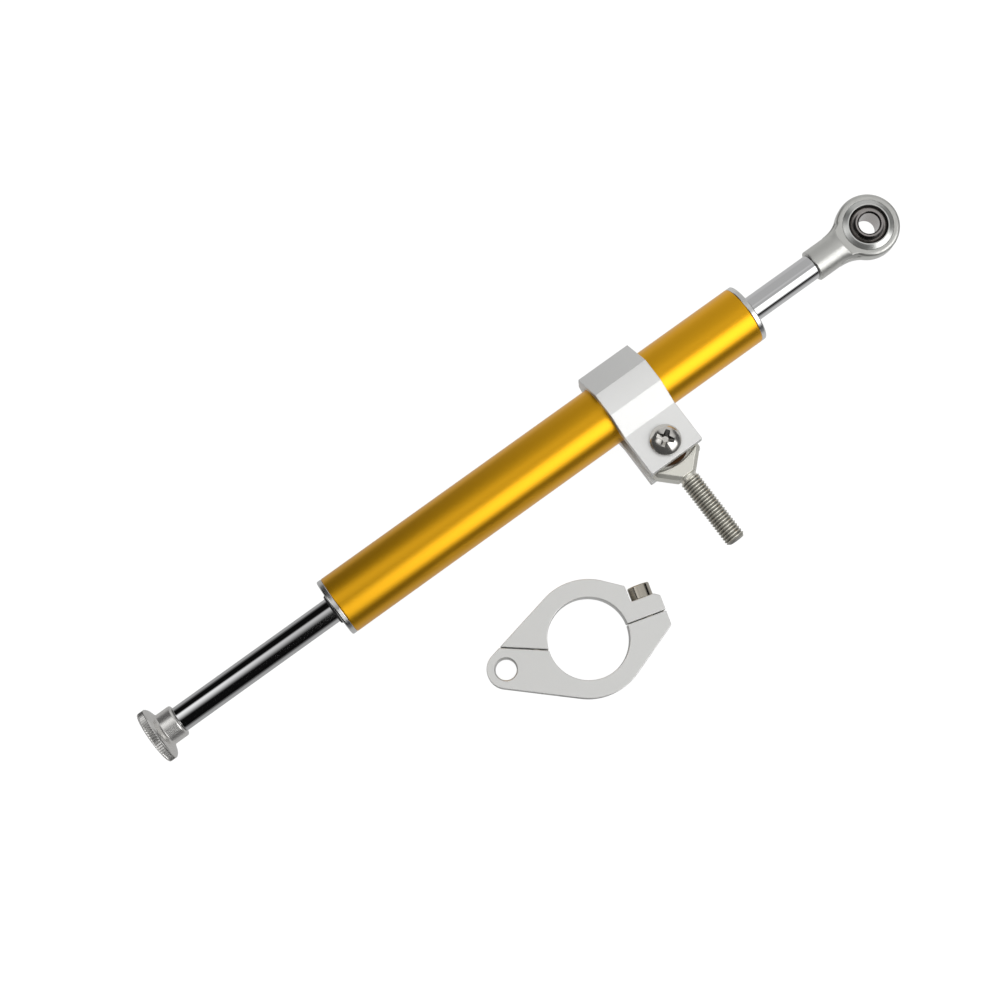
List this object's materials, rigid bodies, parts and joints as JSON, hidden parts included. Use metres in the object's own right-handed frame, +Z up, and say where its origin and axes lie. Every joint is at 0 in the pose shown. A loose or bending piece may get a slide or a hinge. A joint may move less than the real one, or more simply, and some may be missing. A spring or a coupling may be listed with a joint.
{
  "type": "motorcycle steering damper",
  "caption": "Telescopic steering damper: gold tube, through rod with adjuster knob and rod end, split body clamp with swinging stud, and a loose split fork clamp.",
  "frame": {"origin": "centre of the rod end's ball, on the axis of its bore", "axes": "+X along the damper from the knob to the rod end, +Z up along the bores of the rod end and the fork clamp, stud towards -Y; the part lies on the plane Z = -16.26 mm, and the body clamp is turned 5 degrees about the tube"},
  "size_m": [0.3423, 0.1029, 0.0327],
  "materials": {
    "gold_anodised": "satin gold anodised",
    "cap_alloy": "turned, clear anodised",
    "bronze": "oiled sintered bronze",
    "seal_rubber": "matt nitrile",
    "rod_chrome": "hard chrome, ground",
    "ring_ptfe": "bronze-filled PTFE",
    "spring_steel": "blackened",
    "zinc_steel": "zinc plated",
    "ball_steel": "polished, dark",
    "knob_alloy": "turned and knurled, clear anodised",
    "clamp_alloy": "fine satin, clear anodised",
    "screw_nickel": "bright nickel"
  },
  "bodies": {
    "barrel": {"barrel_tube": "gold_anodised", "left_end_cap": "cap_alloy", "right_end_cap": "cap_alloy", "left_rod_bush": "bronze", "right_rod_bush": "bronze", "left_rod_seal": "seal_rubber", "right_rod_seal": "seal_rubber", "left_wiper": "seal_rubber", "right_wiper": "seal_rubber", "left_cap_o_ring": "seal_rubber", "right_cap_o_ring": "seal_rubber"},
    "rod": {"piston_rod": "rod_chrome", "piston": "cap_alloy", "piston_ring": "ring_ptfe", "piston_circlips": "spring_steel", "rod_end_housing": "zinc_steel", "rod_end_race": "zinc_steel"},
    "ball": {"rod_end_ball": "ball_steel"},
    "knob": {"adjuster_knob": "knob_alloy", "adjuster_spindle": "zinc_steel", "spindle_o_ring": "seal_rubber", "knob_grub_screw": "spring_steel"},
    "clamp": {"body_clamp": "clamp_alloy", "clamp_screw": "screw_nickel", "clamp_nut": "screw_nickel", "upper_pivot_bush": "bronze", "lower_pivot_bush": "bronze"},
    "eye_bolt": {"eye_bolt": "zinc_steel"},
    "fork_clamp": {"fork_upper_jaw": "clamp_alloy", "fork_lower_jaw": "clamp_alloy", "fork_clamp_bolts": "screw_nickel"}
  },
  "joints": [
    {"name": "rod_slide", "type": "slide", "parent": "barrel", "child": "rod", "axis": [1, 0, 0], "range_m": [-0.027, 0.067]},
    {"name": "knob_turn", "type": "hinge", "parent": "rod", "child": "knob", "pos_m": [-0.32, 0, 0], "axis": [1, 0, 0], "range_deg": [-120, 120]},
    {"name": "ball_spin", "type": "hinge", "parent": "rod", "child": "ball", "pos_m": [0, 0, 0], "axis": [0, 0, 1], "continuous": true},
    {"name": "clamp_slide", "type": "slide", "parent": "barrel", "child": "clamp", "axis": [1, 0, 0], "range_m": [-0.12, 0.041]},
    {"name": "eye_swing", "type": "hinge", "parent": "clamp", "child": "eye_bolt", "pos_m": [-0.1129, -0.02311, 0.00202], "axis": [0, 0.0872, 0.9962], "range_deg": [-90, 90]},
    {"name": "fork_clamp_slide", "type": "slide", "parent": "barrel", "child": "fork_clamp", "axis": [0, -1, 0], "range_m": [0, 0.06]}
  ]
}
